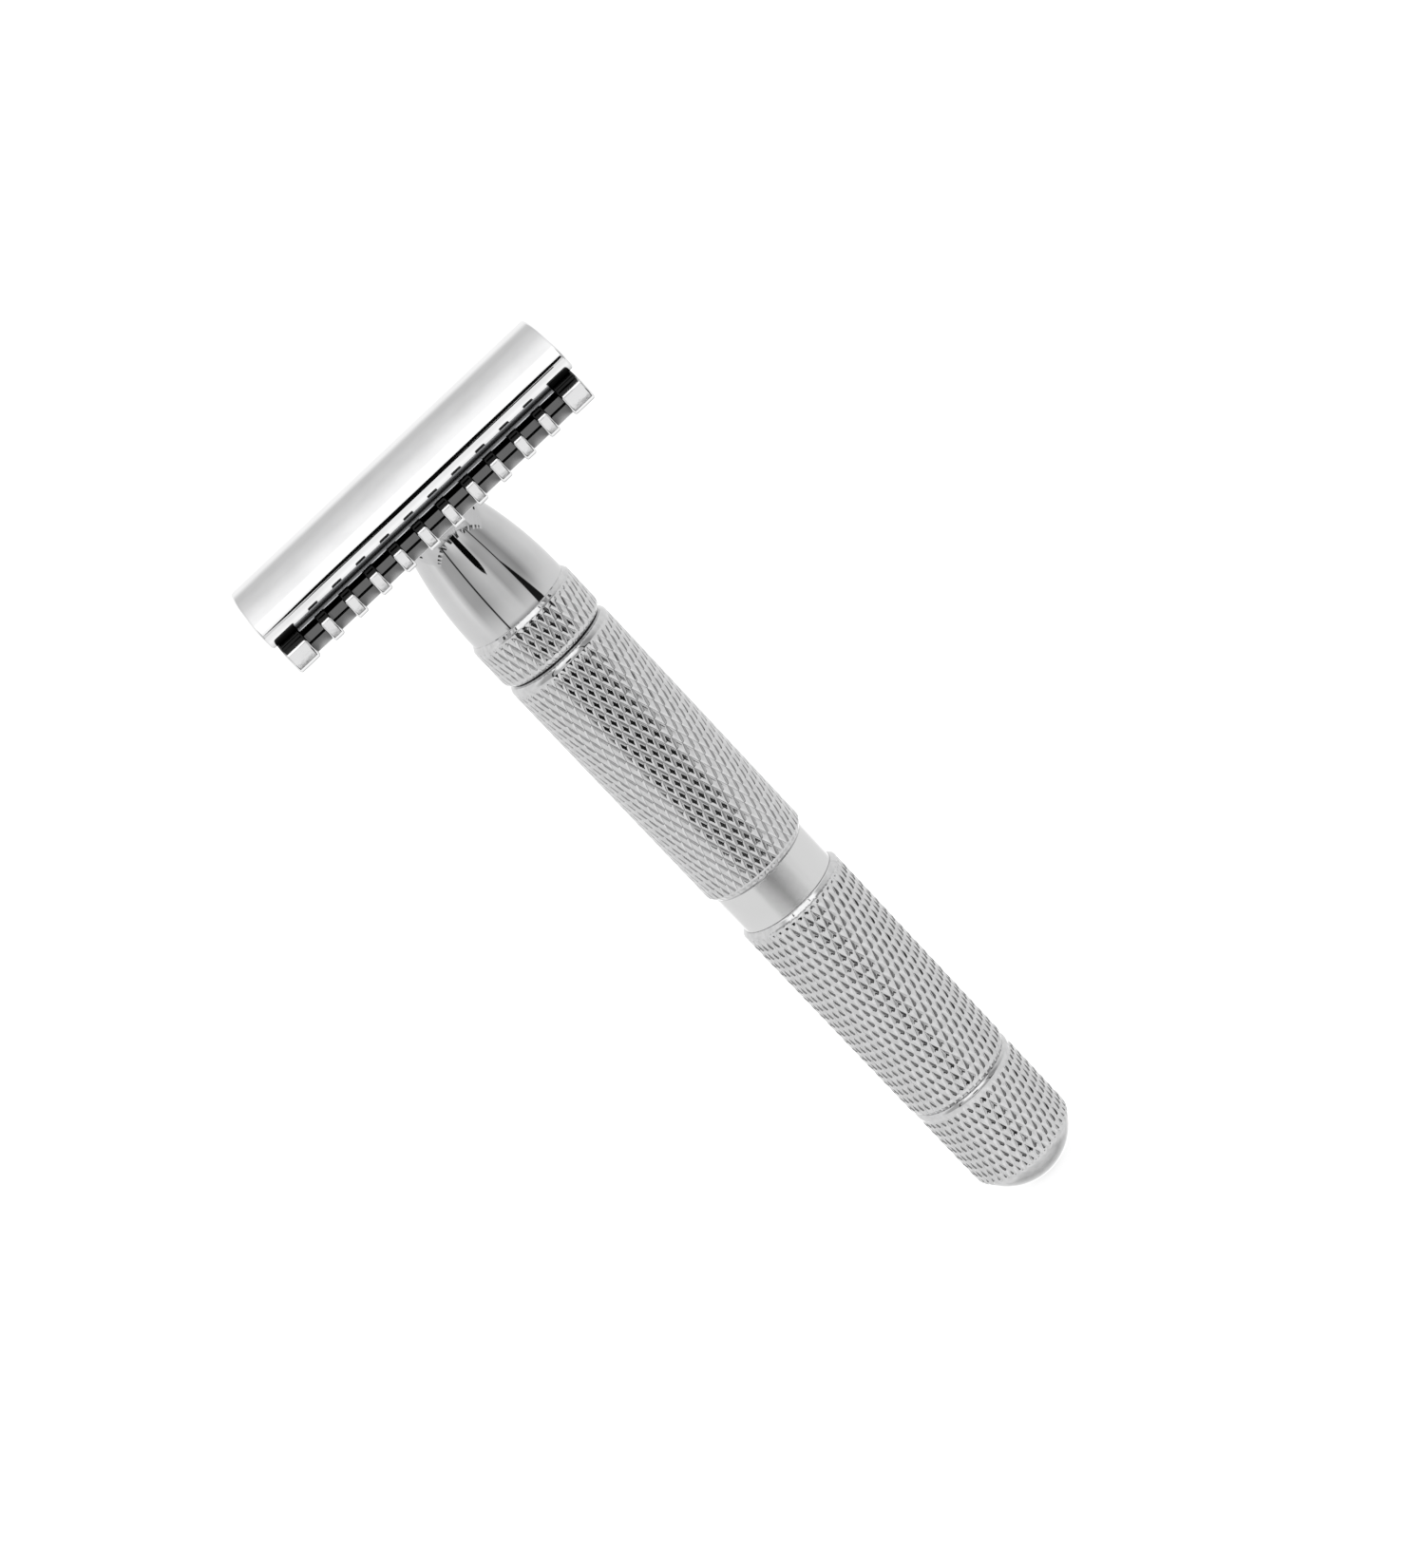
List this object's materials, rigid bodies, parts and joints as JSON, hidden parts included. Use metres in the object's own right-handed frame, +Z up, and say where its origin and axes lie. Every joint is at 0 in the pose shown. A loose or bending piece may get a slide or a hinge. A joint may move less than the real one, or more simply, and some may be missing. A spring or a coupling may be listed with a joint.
{
  "type": "safety razor",
  "caption": "Open-comb double-edge safety razor: domed cap over a toothed comb plate, bullet neck, knurled handle with a smooth centre band, and a twist knob that clamps the blade.",
  "frame": {"origin": "lowest point of the knob's dome, on the handle axis", "axes": "+Z up the handle towards the head, X along the blade and the head's length, Y across the head between the two blade edges"},
  "size_m": [0.0434, 0.0244, 0.1144],
  "materials": {
    "polished_chrome": "mirror-polished chrome plate",
    "knurled_chrome": "chrome plate over diamond knurling",
    "satin_band": "satin, bead-blasted and plated",
    "blade_steel": "ground stainless blade steel",
    "stainless": "turned stainless steel",
    "spring_steel": "blued spring steel",
    "brass": "turned brass",
    "nylon": "natural nylon"
  },
  "bodies": {
    "handle": {"comb_plate": "polished_chrome", "neck": "polished_chrome", "knurled_collar": "knurled_chrome", "core_tube": "brass", "upper_grip_sleeve": "knurled_chrome", "centre_band": "satin_band", "lower_grip_sleeve": "knurled_chrome", "upper_rod_bush": "brass", "lower_rod_bush": "brass", "thrust_washer": "nylon", "spring_washer": "spring_steel"},
    "knob": {"end_knob": "knurled_chrome", "draw_rod": "stainless", "thread_socket": "brass", "socket_pin": "stainless", "rod_lock_nut": "stainless", "retaining_clip": "spring_steel"},
    "cap": {"top_cap": "polished_chrome", "cap_stud": "stainless", "locating_pins": "stainless"},
    "blade": {"blade": "blade_steel"}
  },
  "joints": [
    {"name": "knob_turn", "type": "hinge", "parent": "handle", "child": "knob", "pos_m": [0, 0, 0.008], "axis": [0, 0, 1], "range_deg": [-2520, 0]},
    {"name": "cap_lift", "type": "slide", "parent": "handle", "child": "cap", "axis": [0, 0, 1], "range_m": [0, 0.0056]},
    {"name": "blade_release", "type": "slide", "parent": "handle", "child": "blade", "axis": [0, 0, 1], "range_m": [0, 0.0028]}
  ],
  "couplings": [
    {"joint": "knob_turn", "follows": "cap_lift", "rad_per_m": -7854},
    {"joint": "blade_release", "follows": "cap_lift", "ratio": 0.5}
  ]
}
